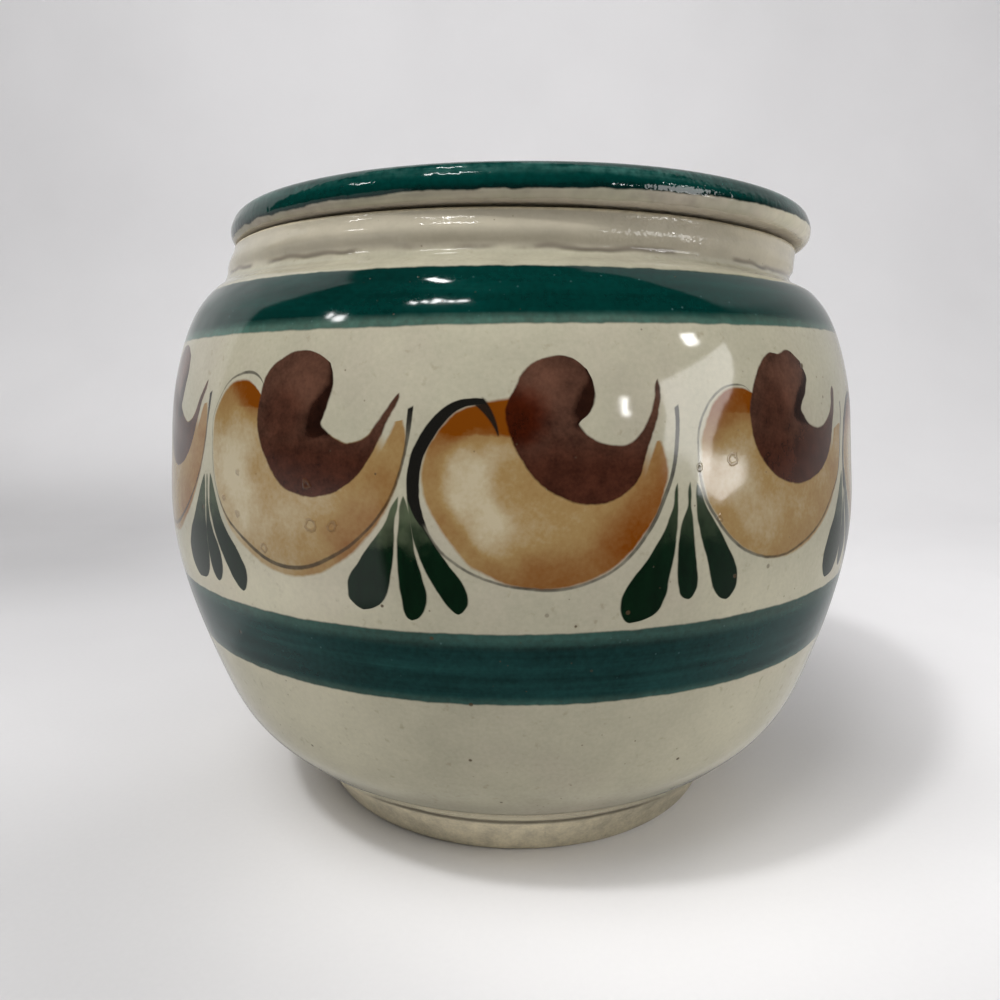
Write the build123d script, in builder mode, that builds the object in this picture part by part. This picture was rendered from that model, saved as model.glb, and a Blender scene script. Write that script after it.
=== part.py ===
"""Lidded olive jar of glazed stoneware: a wheel-thrown pot and its loose lid.

Millimetres, +Z up, with the origin in the middle of the foot ring's bearing face.
"""
import os

from build123d import *

# Foot ring, turned after throwing
foot_radius = 42.5       # outside of the bearing face
foot_bevel = 0.8         # small break round the bearing face
foot_height = 8.5        # bearing face to the groove under the body
foot_flare = 4.1         # how far the ring widens from its face up to the groove
foot_ring_width = 7.5    # bearing face, outside to inside
foot_recess = 5.0        # depth of the hollow inside the ring
recess_round = 2.0       # round where the ring meets the underside

# Body, outside, level by level
undercut_span = 6.3      # groove to the turned edge above it
flank_span = 11.2        # turned edge to the lower flank
belly_span = 34.0        # lower flank to the widest ring
upper_span = 20.5        # widest ring to the nearly straight upper flank
shoulder_span = 12.5     # upper flank to the shoulder
collar_span = 8.1        # shoulder to the edge of the ledge round the neck
belly_radius = 69.9
upper_inset = 1.4        # belly to upper flank, radially
flank_inset = 8.2        # belly to lower flank, radially
edge_inset = 7.5         # lower flank to the turned edge, radially
shoulder_swell = 4.9     # edge of the ledge out to the shoulder, radially

# Ledge and neck
neck_radius = 56.7       # outside of the rim
ledge_width = 4.1        # rim radius out to the edge of the ledge
ledge_rise = 2.9         # edge of the ledge up to the groove at the neck's root
root_groove = 0.5        # depth of the turned groove at the neck's root
groove_width = 0.8
neck_waist = 0.4         # hollow between the groove and the rim
neck_span = 5.8          # groove to the top of the rim
rim_round = 1.1

# Walls and inside
body_wall = 5.6
flank_wall = 6.8         # thicker low down, measured level
floor_thickness = 6.5
floor_turn = 20.2        # turned edge in to the level middle of the floor, radially
shoulder_wall = 6.8
neck_wall = 5.6
shoulder_turn = 4.0      # shoulder down to where the inside turns in to the bore
mouth_run = 4.0          # ledge's edge down to where the bore starts
mouth_round = 4.0        # round where the bore starts

# Lid
lid_overhang = 1.5       # past the rim all round
lid_edge = 5.7           # thickness at the edge
lid_under_round = 1.8    # width of the rounded under-edge
lid_under_rise = 1.3     # height of the rounded under-edge
lid_top_round = 3.4      # width of the rounded top edge
lid_top_drop = 2.9       # height of the rounded top edge
lid_dome = 2.4           # middle of the top above the edge
lid_thickness = 6.0      # at the middle
ring_depth = 8.0         # locating ring below the seat
ring_wall = 5.0
ring_round = 1.5

# Fit of the lid
seat_gap = 0.3           # grit left on the bare clay seat
ring_play = 2.5          # locating ring to the bore, all round

# Levels and radii that follow
underside_z = foot_recess
groove_z = foot_height
edge_z = groove_z + undercut_span
flank_z = edge_z + flank_span
belly_z = flank_z + belly_span
upper_z = belly_z + upper_span
shoulder_z = upper_z + shoulder_span
collar_z = shoulder_z + collar_span
root_z = collar_z + ledge_rise
rim_z = root_z + neck_span
floor_z = foot_recess + floor_thickness

groove_radius = foot_radius + foot_flare
flank_radius = belly_radius - flank_inset
edge_radius = flank_radius - edge_inset
upper_radius = belly_radius - upper_inset
collar_radius = neck_radius + ledge_width
shoulder_radius = collar_radius + shoulder_swell
root_radius = neck_radius - root_groove
bore_radius = neck_radius - neck_wall
bore_z = collar_z - mouth_run
shoulder_inside = shoulder_radius - shoulder_wall
turn_z = shoulder_z - shoulder_turn
foot_inside = foot_radius - foot_ring_width
floor_flat = edge_radius - floor_turn

seat_z = rim_z + seat_gap
lid_radius = neck_radius + lid_overhang
ring_radius = bore_radius - ring_play
ring_inside = ring_radius - ring_wall
lid_top_z = seat_z + lid_edge + lid_dome

OUT = (1, 0)
IN = (-1, 0)
UP = (0, 1)
DOWN = (0, -1)

# Jar: the solid outside is turned first, then the inside and the foot's hollow are cut
with BuildPart() as jar:
    with BuildSketch(Plane.XZ):
        with BuildLine():
            Line((0, 0), (foot_radius - foot_bevel, 0))
            Line((foot_radius - foot_bevel, 0), (foot_radius, foot_bevel))
            Line((foot_radius, foot_bevel), (groove_radius, groove_z))
            Line((groove_radius, groove_z), (edge_radius, edge_z))
            Spline(
                (edge_radius, edge_z),
                (flank_radius, flank_z),
                (belly_radius, belly_z),
                (upper_radius, upper_z),
                (shoulder_radius, shoulder_z),
                (collar_radius, collar_z),
                (neck_radius, root_z),
            )
            Line((neck_radius, root_z), (root_radius, root_z))
            Line((root_radius, root_z), (root_radius, root_z + groove_width))
            Spline(
                (root_radius, root_z + groove_width),
                (neck_radius, rim_z - rim_round),
                tangents=((-neck_waist, neck_span), UP),
            )
            Spline(
                (neck_radius, rim_z - rim_round),
                (neck_radius - rim_round, rim_z),
                tangents=(UP, IN),
            )
            Line((neck_radius - rim_round, rim_z), (0, rim_z))
            Line((0, rim_z), (0, 0))
        make_face()
    revolve(axis=Axis.Z)
    with BuildSketch(Plane.XZ):
        with BuildLine():
            Line((0, floor_z), (floor_flat, floor_z))
            Spline(
                (floor_flat, floor_z),
                (flank_radius - flank_wall, flank_z),
                (belly_radius - body_wall, belly_z),
                (upper_radius - body_wall, upper_z),
                (shoulder_inside, turn_z),
                (bore_radius, bore_z),
                tangents=(OUT, (bore_radius - shoulder_inside, bore_z - turn_z)),
            )
            Line((bore_radius, bore_z), (bore_radius, rim_z))
            Line((bore_radius, rim_z), (0, rim_z))
            Line((0, rim_z), (0, floor_z))
        make_face()
    revolve(axis=Axis.Z, mode=Mode.SUBTRACT)
    with BuildSketch(Plane.XY):
        Circle(foot_inside)
    extrude(amount=foot_recess, mode=Mode.SUBTRACT)
    inner_rim = jar.edges().filter_by(GeomType.CIRCLE).filter_by_position(Axis.Z, rim_z, rim_z)
    fillet(inner_rim.sort_by(SortBy.RADIUS)[0], radius=rim_round)
    bore_start = jar.edges().filter_by(GeomType.CIRCLE).filter_by_position(Axis.Z, bore_z, bore_z)
    fillet(bore_start, radius=mouth_round)
    recess_ring = jar.edges().filter_by(GeomType.CIRCLE)
    recess_ring = recess_ring.filter_by_position(Axis.Z, underside_z, underside_z)
    fillet(recess_ring, radius=recess_round)

# Lid: a shallow dome with a rounded edge and a locating ring under it
with BuildPart() as lid:
    with BuildSketch(Plane.XZ):
        with BuildLine():
            Line((0, lid_top_z - lid_thickness), (0, lid_top_z))
            Spline(
                (0, lid_top_z),
                (lid_radius - lid_top_round, seat_z + lid_edge),
                tangents=(OUT, (lid_radius, -lid_dome)),
            )
            Spline(
                (lid_radius - lid_top_round, seat_z + lid_edge),
                (lid_radius, seat_z + lid_edge - lid_top_drop),
                tangents=((lid_radius, -lid_dome), DOWN),
            )
            Line(
                (lid_radius, seat_z + lid_edge - lid_top_drop),
                (lid_radius, seat_z + lid_under_rise),
            )
            Spline(
                (lid_radius, seat_z + lid_under_rise),
                (lid_radius - lid_under_round, seat_z),
                tangents=(DOWN, IN),
            )
            Line((lid_radius - lid_under_round, seat_z), (ring_radius, seat_z))
            Line((ring_radius, seat_z), (ring_radius, seat_z - ring_depth))
            Line((ring_radius, seat_z - ring_depth), (ring_inside, seat_z - ring_depth))
            Line((ring_inside, seat_z - ring_depth), (ring_inside, seat_z))
            Spline(
                (ring_inside, seat_z),
                (0, lid_top_z - lid_thickness),
                tangents=((-ring_inside, lid_dome), IN),
            )
        make_face()
    revolve(axis=Axis.Z)
    ring_end = lid.edges().filter_by(GeomType.CIRCLE)
    ring_end = ring_end.filter_by_position(Axis.Z, seat_z - ring_depth, seat_z - ring_depth)
    fillet(ring_end, radius=ring_round)

jar.part.label = "jar"
lid.part.label = "lid"

os.makedirs("parts", exist_ok=True)
export_step(jar.part, "parts/jar.step")
export_step(lid.part, "parts/lid.step")

print("jar volume", round(jar.part.volume), "lid volume", round(lid.part.volume))
print("rim", round(rim_z, 2), "lid top", round(lid_top_z, 2), "bore radius", round(bore_radius, 2))
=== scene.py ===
"""Dresses the olive jar: the thrown pot with its painted border, the loose lid and the cloth below.

Sizes are in millimetres where a name ends in no unit, and are turned into metres when a mesh is made.
Turn means the angle round the jar in degrees: 0 at the front (-Y), growing towards +X.
"""
import math

import bpy
import numpy as np
from mathutils import Matrix, Vector


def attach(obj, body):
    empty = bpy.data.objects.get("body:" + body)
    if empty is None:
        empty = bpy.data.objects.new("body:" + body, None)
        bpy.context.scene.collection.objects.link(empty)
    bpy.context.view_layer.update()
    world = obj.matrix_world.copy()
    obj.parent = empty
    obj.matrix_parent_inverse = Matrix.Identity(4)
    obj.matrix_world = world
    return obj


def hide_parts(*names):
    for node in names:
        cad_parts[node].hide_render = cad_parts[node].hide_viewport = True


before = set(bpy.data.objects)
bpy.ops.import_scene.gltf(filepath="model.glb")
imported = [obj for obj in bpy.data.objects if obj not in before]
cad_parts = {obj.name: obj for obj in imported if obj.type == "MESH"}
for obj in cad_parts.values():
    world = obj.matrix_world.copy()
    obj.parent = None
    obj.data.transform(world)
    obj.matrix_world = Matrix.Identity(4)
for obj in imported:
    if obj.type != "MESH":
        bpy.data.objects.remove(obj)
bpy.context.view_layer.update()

bl_info = {
    "name": "Olive Jar",
    "version": (1, 0, 0),
    "blender": (4, 5, 0),
    "location": "3D View > Sidebar > Olive Jar",
    "description": "Builds a glazed olive jar with a brushed border, its lid and a plain studio",
    "category": "Add Mesh",
}

MM = 0.001
SLICES = 192
LID_RADIUS = 58.2
LID_SEAT = 110.5
LID_LEAN = 0.41

# The body's outside, foot to ledge: height and radius
BODY_OUTSIDE = ((15.2, 54.2), (18, 57), (22.4, 60.1), (31.5, 63.8), (42, 67), (52.5, 69.2), (63, 69.9),
                (73.5, 69.2), (81.9, 68.4), (88.2, 67.1), (93.1, 65.6), (96.6, 64.1), (99.6, 62.2),
                (101.3, 60.6))
# The body's inside, floor to mouth
BODY_INSIDE = ((16, 47.6), (26, 54.9), (40, 60.3), (60, 64), (72, 64.4), (80.5, 62.8), (88, 59.2),
               (93, 55.2), (97, 51.9))
# The pot's profile where it isn't one smooth line: radius and height
FOOT_PROFILE = ((0, 5), (18, 5), (28, 5), (32.6, 4.95), (34.2, 4.4), (34.9, 3.2), (35, 1.2), (35.1, 0.3),
                (35.5, 0), (38.2, 0), (41.2, 0), (41.75, 0.06), (42.3, 0.55), (42.6, 1.1), (43.3, 2.6),
                (44.4, 5), (45.5, 7), (46, 7.7), (46.15, 8.05), (46.3, 8.35), (46.95, 8.9), (48.7, 10.5),
                (50.9, 12.3), (52.4, 13.5), (53.4, 14.4))
NECK_PROFILE = ((60.3, 101.55), (59.4, 102.1), (58.3, 102.6), (57.4, 103), (56.98, 103.45),
                (56.72, 103.95), (56.49, 104.45), (56.5, 104.95), (56.75, 105.5), (56.96, 106.1),
                (57.04, 106.7), (56.95, 107.2), (56.68, 107.8), (56.38, 108.4), (56.15, 109),
                (56.08, 109.5), (55.88, 109.9), (55.3, 110.1), (54.3, 110.1), (53.4, 110.1), (52.4, 110),
                (51.6, 109.5), (51.15, 108.6), (51.1, 106), (51.1, 103), (51.15, 100))
FLOOR_PROFILE = ((44.6, 13.9), (40.5, 12.4), (36, 11.7), (30, 11.5), (20, 11.5), (0, 11.5))
# The lid's profile: radius, and height above its seat
LID_PROFILE = ((0, 2.1), (14, 1.95), (28, 1.5), (38, 0.8), (42.4, 0.3), (43.3, -0.1), (43.55, -0.9),
               (43.6, -3), (43.65, -6.2), (44, -7.4), (44.9, -8), (47.3, -8), (48.2, -7.4),
               (48.55, -6.2), (48.6, -3), (48.65, -0.9), (48.9, -0.2), (49.8, 0), (52.5, 0), (55.4, 0),
               (56.7, 0.1), (57.5, 0.45), (57.95, 1), (58.15, 1.6), (58.2, 2.2), (58.15, 2.8),
               (57.95, 3.4), (57.7, 4), (57.42, 4.6), (56.9, 5.15), (56.1, 5.55), (54.9, 5.8),
               (52.6, 6.1), (46, 6.75), (36, 7.45), (24, 7.95), (12, 8.08), (0, 8.1))
# How far the pot's centre leans to the side, by height
LEAN = ((0, 0), (9.1, -0.15), (21, -0.36), (35, -0.62), (49, -0.87), (63, -1.1), (77, -1.23),
        (91, -1.13), (101.5, -1), (104.6, -1.35), (108, -1.35), (112, -1.25))


class ShapeSettings(bpy.types.PropertyGroup):
    """Sizes that shape the thrown pieces"""

    wobble: bpy.props.FloatProperty(
        name="Wobble", description="How far the potter's hands left the wall from true",
        default=0.00022, min=0, max=0.001, unit="LENGTH",
    )
    wobble_size: bpy.props.FloatProperty(
        name="Wobble size", description="Width of one soft hollow or swell in the wall",
        default=0.035, min=0.005, max=0.2, unit="LENGTH",
    )
    lid_rise: bpy.props.FloatProperty(
        name="Lid rise", description="How far grit holds the lid's right side above its left",
        default=0.0007, min=0, max=0.003, unit="LENGTH",
    )


def spaced(points, start, stop, count):
    """Heights and values of a smooth line through the points, evenly spaced in height."""
    x, y = (np.array(c, float) for c in zip(*points))
    n, h = len(x), np.diff(x)
    slope = np.diff(y) / h
    system, right = np.eye(n), np.zeros(n)
    for i in range(1, n - 1):
        system[i, i - 1:i + 2] = h[i - 1], 2 * (h[i - 1] + h[i]), h[i]
        right[i] = 6 * (slope[i] - slope[i - 1])
    bend = np.linalg.solve(system, right)
    found = []
    for at in np.linspace(start, stop, count):
        i = min(max(int(np.searchsorted(x, at)) - 1, 0), n - 2)
        a, b = x[i + 1] - at, at - x[i]
        found.append((at, (bend[i] * a ** 3 + bend[i + 1] * b ** 3) / (6 * h[i])
                      + (y[i] / h[i] - bend[i] * h[i] / 6) * a
                      + (y[i + 1] / h[i] - bend[i + 1] * h[i] / 6) * b))
    return found


def lean_at(height):
    """The pot's sideways lean at a height."""
    return float(np.interp(height, *zip(*LEAN)))


# Grooves that clay fills in part: heights and radii of their two edges, and the clay's share by turn
FILLS = (
    (5, 15.2, 44.4, 54.2, ((-55, 0.85), (-22, 0), (22, 0), (55, 0.85))),
    (101.5, 107, 60.3, 57.1, ((-75, 0.6), (-35, 0))),
    (106, 110.2, 57.1, 57.5, ((40, 0), (70, 0.9), (110, 0.9), (150, 0))),
)


def fill_grooves(point):
    """Clay left in the groove over the foot, and in the neck's groove on the left and under its rim."""
    radius, height = math.hypot(point.x, point.y) / MM, point.z / MM
    turn = math.degrees(math.atan2(point.x, -point.y))
    for low, high, low_radius, high_radius, shares in FILLS:
        gap = low_radius + (high_radius - low_radius) * (height - low) / (high - low) - radius
        if low < height < high and 0 < gap < 3:
            grown = 1 + float(np.interp(turn, *zip(*shares))) * gap / radius
            point.x, point.y = point.x * grown, point.y * grown


def only(thing):
    """Makes one object the only one that is selected, and the active one."""
    bpy.ops.object.select_all(action="DESELECT")
    thing.select_set(True)
    bpy.context.view_layer.objects.active = thing


def turned(name, profile):
    """A closed shape turned on the wheel from its profile, given as radius and height from pole to pole."""
    bpy.ops.object.select_all(action="DESELECT")
    bpy.ops.mesh.primitive_plane_add(size=MM, location=(0, 0, 0))
    thing = bpy.context.object
    thing.name = thing.data.name = name
    bpy.ops.object.mode_set(mode="EDIT")
    bpy.ops.mesh.merge(type="COLLAPSE")
    bpy.ops.transform.translate(value=(0, 0, profile[0][1] * MM))
    for before, after in zip(profile, profile[1:]):
        step = ((after[0] - before[0]) * MM, 0, (after[1] - before[1]) * MM)
        bpy.ops.mesh.extrude_vertices_move(TRANSFORM_OT_translate={"value": step})
    bpy.ops.object.mode_set(mode="OBJECT")
    apply_modifier(thing, "SUBSURF", "round", levels=1, render_levels=1)
    bpy.ops.object.mode_set(mode="EDIT")
    bpy.ops.mesh.select_all(action="SELECT")
    bpy.ops.mesh.spin(steps=SLICES, angle=2 * math.pi, center=(0, 0, 0), axis=(0, 0, 1))
    bpy.ops.mesh.select_all(action="SELECT")
    bpy.ops.mesh.remove_doubles(threshold=0.01 * MM)
    bpy.ops.mesh.normals_make_consistent(inside=False)
    bpy.ops.object.mode_set(mode="OBJECT")
    return thing


def apply_modifier(thing, kind, name, **settings):
    """Adds a modifier to a piece and applies it."""
    only(thing)
    made = thing.modifiers.new(name, kind)
    for key, value in settings.items():
        setattr(made, key, value)
    bpy.ops.object.modifier_apply(modifier=made.name)


def shade(red, green, blue):
    """A colour as it is read off a screen, 0 to 255, in linear values."""
    levels = (value / 255 for value in (red, green, blue))
    return tuple(v / 12.92 if v <= 0.04 else ((v + 0.055) / 1.055) ** 2.4 for v in levels)


def colour(name, description, *levels):
    """A colour that a user may change, given as it is read off a screen."""
    return bpy.props.FloatVectorProperty(name=name, description=description, subtype="COLOR", size=3,
                                         default=shade(*levels), min=0, max=1)


class GlazeSettings(bpy.types.PropertyGroup):
    """Colours of the clay, the glaze and the paints"""

    cream: colour("Cream", "Ground of the glazed body", 182, 177, 155)
    clay: colour("Clay", "Bare clay of the foot, the rim and the lid's underside", 192, 182, 164)
    green: colour("Green", "Bands and lid", 0, 47, 42)
    leaf: colour("Leaf", "Leaves between the motifs", 5, 29, 13)
    scroll: colour("Scroll", "Comma-shaped scrolls", 58, 19, 5)
    tan: colour("Tan", "Wash inside each ring", 158, 130, 84)
    orange: colour("Orange", "Deeper strokes over the wash", 120, 62, 6)
    ink: colour("Ink", "Thin dark ring round each wash", 26, 25, 22)


class Value:
    """One output of a node, for use in plain expressions."""

    def __init__(self, brush, socket):
        self.brush, self.socket = brush, socket

    def maths(self, operation, *values):
        return self.brush.node("ShaderNodeMath", {"operation": operation}, dict(enumerate(values)))

    def __add__(self, other):
        return self.maths("ADD", self, other)

    def __radd__(self, other):
        return self.maths("ADD", other, self)

    def __sub__(self, other):
        return self.maths("SUBTRACT", self, other)

    def __rsub__(self, other):
        return self.maths("SUBTRACT", other, self)

    def __mul__(self, other):
        return self.maths("MULTIPLY", self, other)

    def __rmul__(self, other):
        return self.maths("MULTIPLY", other, self)

    def __truediv__(self, other):
        return self.maths("DIVIDE", self, other)

    def __rtruediv__(self, other):
        return self.maths("DIVIDE", other, self)

    def __neg__(self):
        return self.maths("MULTIPLY", self, -1)

    def __abs__(self):
        return self.maths("ABSOLUTE", self)

    def __and__(self, other):
        return self.maths("MINIMUM", self, other)

    def __or__(self, other):
        return self.maths("MAXIMUM", self, other)


class Brush:
    """Paints one material, or the world."""

    def __init__(self, owner, coordinates="Object"):
        owner.use_nodes = True
        self.tree = owner.node_tree
        self.place = self.node("ShaderNodeTexCoord", output=coordinates)

    def link(self, value, node, socket):
        """Feeds a value to a socket of a node that the tree starts with."""
        self.tree.links.new(value.socket, self.tree.nodes[node].inputs[socket])

    def node(self, kind, settings=None, inputs=None, output=0):
        """Makes a node, its settings before the values or links of its sockets, and gives one output."""
        made = self.tree.nodes.new(kind)
        for name, value in (settings or {}).items():
            if name == "stops":
                made.color_ramp.interpolation = value[0]
                for i, (at, _) in enumerate(value[1]):
                    stop = made.color_ramp.elements.new(at) if i > 1 else made.color_ramp.elements[i]
                    stop.position = at
                for stop, (_, shown) in zip(made.color_ramp.elements, value[1]):
                    stop.color = (*shown, 1)
            elif name == "lines":
                for line, points in zip(made.mapping.curves, value):
                    line.points[0].location, line.points[-1].location = points[0], points[-1]
                    for point in points[1:-1]:
                        line.points.new(*point)
                    for point in line.points:
                        point.handle_type = "AUTO_CLAMPED"
                made.mapping.update()
            else:
                setattr(made, name, value)
        for key, value in (inputs or {}).items():
            if isinstance(value, Value):
                self.tree.links.new(value.socket, made.inputs[key])
            else:
                made.inputs[key].default_value = value
        return Value(self, made.outputs[output])

    def maths(self, operation, *values):
        return self.node("ShaderNodeMath", {"operation": operation}, dict(enumerate(values)))

    def split(self, vector):
        """The three parts of a vector."""
        first = self.node("ShaderNodeSeparateXYZ", inputs={0: vector})
        outputs = first.socket.node.outputs
        return [Value(self, outputs[i]) for i in range(3)]

    def step(self, value, low, high):
        """0 below low, 1 above high and smooth between."""
        return self.node("ShaderNodeMapRange", {"interpolation_type": "SMOOTHSTEP"},
                         {"Value": value, "From Min": low, "From Max": high})

    def noise(self, size, detail=2, squeeze=(1, 1, 1), shift=0):
        """Noise about 0 whose grains are size millimetres wide."""
        place = self.node("ShaderNodeMapping", inputs={"Vector": self.place, "Scale": squeeze,
                                                       "Location": (shift, shift, shift)})
        return self.node("ShaderNodeTexNoise", inputs={"Vector": place, "Scale": 1 / (size * MM),
                                                       "Detail": detail}) - 0.5

    def curve(self, value, points):
        """A smooth line through points of value and result."""
        low, high = points[0][0], points[-1][0]
        results = [p[1] for p in points]
        base, rise = min(results), max(results) - min(results)
        line = [((at - low) / (high - low), (result - base) / rise) for at, result in points]
        return self.node("ShaderNodeFloatCurve", {"lines": [line]},
                         {"Value": (value - low) / (high - low)}) * rise + base

    def chosen(self, hand, numbers):
        """The one of three numbers that belongs to the hand that drew a motif."""
        return self.node("ShaderNodeVectorMath", {"operation": "DOT_PRODUCT"}, {0: numbers, 1: hand},
                         "Value")

    def distance(self, across, up):
        """How far a place is from a middle, both ways given."""
        return self.maths("SQRT", across * across + up * up)

    def cells(self, size):
        """Distance to the nearest of points strewn size millimetres apart, and that point's own values."""
        inputs = {"Vector": self.place, "Scale": 1 / (size * MM)}
        near = self.node("ShaderNodeTexVoronoi", inputs=inputs)
        return near, Value(self, near.socket.node.outputs["Color"])

    def table(self, entries, place):
        """The entry of a list that belongs to a place from 0 to 1."""
        stops = [(i / len(entries), entry) for i, entry in enumerate(entries)]
        return self.node("ShaderNodeValToRGB", {"stops": ("CONSTANT", stops)}, {"Fac": place})

    def stroke(self, hand, value, lines, middle, half, reach):
        """One of three lines, by the hand that drew the motif, read at a value.

        The value's range is the middle plus or minus half, and no result is past reach.
        """
        scaled = [[((at - middle) / half, result / reach) for at, result in line] for line in lines]
        at = (value - middle) / half
        vector = self.node("ShaderNodeVectorCurve", {"lines": scaled}, {
            "Vector": self.node("ShaderNodeCombineXYZ", inputs={0: at, 1: at, 2: at})})
        return self.chosen(vector, hand) * reach

    def lay(self, under, over, share):
        """A colour laid over another."""
        pair = {key: c if isinstance(c, Value) else (*c, 1) for key, c in ((6, under), (7, over))}
        return self.node("ShaderNodeMix", {"data_type": "RGBA"}, {0: share, **pair}, 2)

    def deepen(self, colour, amount):
        """A colour times a value about 1."""
        return self.node("ShaderNodeVectorMath", {"operation": "SCALE"}, {0: colour, "Scale": amount})


# The border: motifs drawn by three turns of the hand, called a, b and c. Points are (turn, height).
PITCH = 360 / 11
FIRST_EDGE = -11.5
ARC = 1.22        # mm of belly to one degree
SLIDE = 4         # range of a motif's slide, in degrees and in mm
WIDEST = 25       # mm that no stroke of a motif is past
HANDS = {"a": (1, 0, 0), "b": (0, 1, 0), "c": (0, 0, 1)}
# Hand of each motif from the back round to the back again, and how far it slid round and up
MOTIFS = (("c", -0.4, 0.4), ("b", 0.5, -0.5), ("a", -0.4, 0.5), ("c", 0.6, -0.3), ("a", 0.6, 1.5),
          ("a", 0, 0), ("b", 0, 0), ("c", 0, 0), ("b", 0.3, 0.5), ("a", -0.5, -0.4), ("b", 0.4, 0.6),
          ("c", -0.4, 0.4))
SPRAYS = "b", "c", "a", "b", "c", "a", "b", "c", "a", "c", "a", "b"

SCROLL_MIDDLES = (-17.5, 82.3), (11.7, 82.5), (45.8, 83)
SCROLL_OUTSIDES = (
    ((-21.6, 87.8), (-23.5, 89.1), (-26.9, 89.5), (-28.9, 88.6), (-31.4, 86.1), (-32.1, 83),
     (-32.2, 78.2), (-30.8, 74.4), (-28.1, 70.6), (-26.1, 69.6), (-23.9, 69.2), (-21.9, 69.6),
     (-20, 70.3), (-18.3, 71.6), (-16.9, 73.2), (-15.8, 75.1), (-14.7, 77.5), (-13.6, 80.3),
     (-12.4, 83.9)),
    ((8.7, 87.2), (7.4, 88.4), (5.9, 88.9), (4.4, 88.7), (2.7, 88), (1.5, 86.7), (0.7, 84.6),
     (-0.1, 82.9), (-0.4, 81.4), (0.4, 77.9), (1.3, 75.4), (2.6, 73.2), (4.3, 71.3), (6.2, 69.9),
     (8.1, 69.2), (10.1, 69.2), (12, 69.8), (13.7, 71), (14.9, 72.7), (15.5, 74.8), (16.2, 77.2),
     (17.3, 81.7), (17.6, 83.7), (17.2, 86)),
    ((41.2, 88.9), (38.9, 90.3), (36.6, 89.6), (35.3, 89.8), (33.7, 89.1), (31.4, 85.4), (30.4, 80.6),
     (31.6, 75.8), (34.4, 72.2), (38.1, 70.4), (42.5, 70.3), (46.6, 72), (48.9, 74.4), (50.5, 79.2),
     (51.2, 82), (51.5, 84.2), (50.9, 84.9)),
)
SCROLL_INSIDES = (
    ((-21.5, 87.6), (-21, 86), (-21.1, 83.7), (-21.5, 82), (-21.9, 80.6), (-22.2, 79.3), (-21.4, 78.4),
     (-20.1, 77.5), (-18.9, 77), (-17.5, 77.2), (-16.2, 78), (-15, 79.8), (-13.9, 81.6), (-12.5, 83.8)),
    ((9.1, 86.5), (9.4, 85.8), (9.7, 84.4), (9.7, 83), (9.3, 81.8), (8.8, 81), (8, 80.2), (7.9, 79.8),
     (8.7, 78.6), (10.1, 77.6), (12, 77), (13.7, 77.2), (14.8, 78.2), (15.6, 79.6), (16.3, 81.3),
     (16.8, 83.4), (17.1, 85.6)),
    ((42, 87.8), (42.7, 86.5), (42.4, 85.1), (41.9, 83.7), (41.1, 82.5), (40.7, 81.3), (41.4, 80.3),
     (42.5, 79.2), (44.1, 78.5), (45.6, 78.4), (47.2, 78.9), (48.6, 79.9), (49.7, 81.3), (50.6, 84.4)),
)
# Width of the dark shadow along a scroll's inner edge, by the angle round it
SHADOWS = (
    ((-170, 0), (-140, 0.3), (-120, 0.9), (-98, 2), (-78, 3.1), (-62, 2.9), (-50, 0.8), (-40, 0)),
    ((-170, 0), (-150, 0.6), (-125, 1.6), (-100, 2.3), (-80, 2.5), (-68, 1.6), (-58, 0.3), (-48, 0)),
    ((-170, 0), (-150, 0.4), (-120, 1.2), (-95, 1.9), (-75, 2.2), (-62, 1.6), (-50, 0.3), (-40, 0)),
)
RING_MIDDLES = (-27.5, 72), (4.2, 71), (38, 72)
RINGS = (
    ((-31, 83.4), (-31.9, 85.1), (-33.1, 86.1), (-34.4, 86.5), (-36.1, 86.3), (-39.2, 84.6),
     (-41.5, 80.6), (-41.9, 75.8), (-41.1, 69.6), (-38.6, 64.9), (-35, 61.8), (-30.6, 59.2),
     (-26.4, 58.7), (-21.7, 60.5), (-16.9, 64.4), (-13.6, 69.2), (-11.9, 74.4), (-11.1, 80.3),
     (-11, 81.7)),
    ((-2.5, 82.8), (-3.8, 82.8), (-6, 82.1), (-8, 80), (-9.4, 77.5), (-10.3, 75), (-10.6, 72.5),
     (-10.6, 70), (-10, 67.5), (-9, 65.2), (-7.6, 62.8), (-5.5, 60.8), (-3, 59.2), (0, 58.1), (3, 57.6),
     (6, 57.6), (9, 58.5), (12, 60.2), (14.5, 63), (16.5, 66.3), (18, 69.8), (19, 73), (19.5, 76),
     (19.7, 79), (19.6, 82.2)),
    ((30.8, 83.9), (30, 84.7), (28.4, 85.1), (25, 83.7), (23, 80.6), (22.5, 75.4), (23.4, 69.6),
     (25.6, 65.4), (28.8, 61.8), (32.5, 59.9), (36.9, 59.5), (41.2, 60.8), (45.6, 63.2), (49.7, 67.2),
     (52.5, 70.6), (53.9, 76.5), (54.4, 82)),
)
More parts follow.
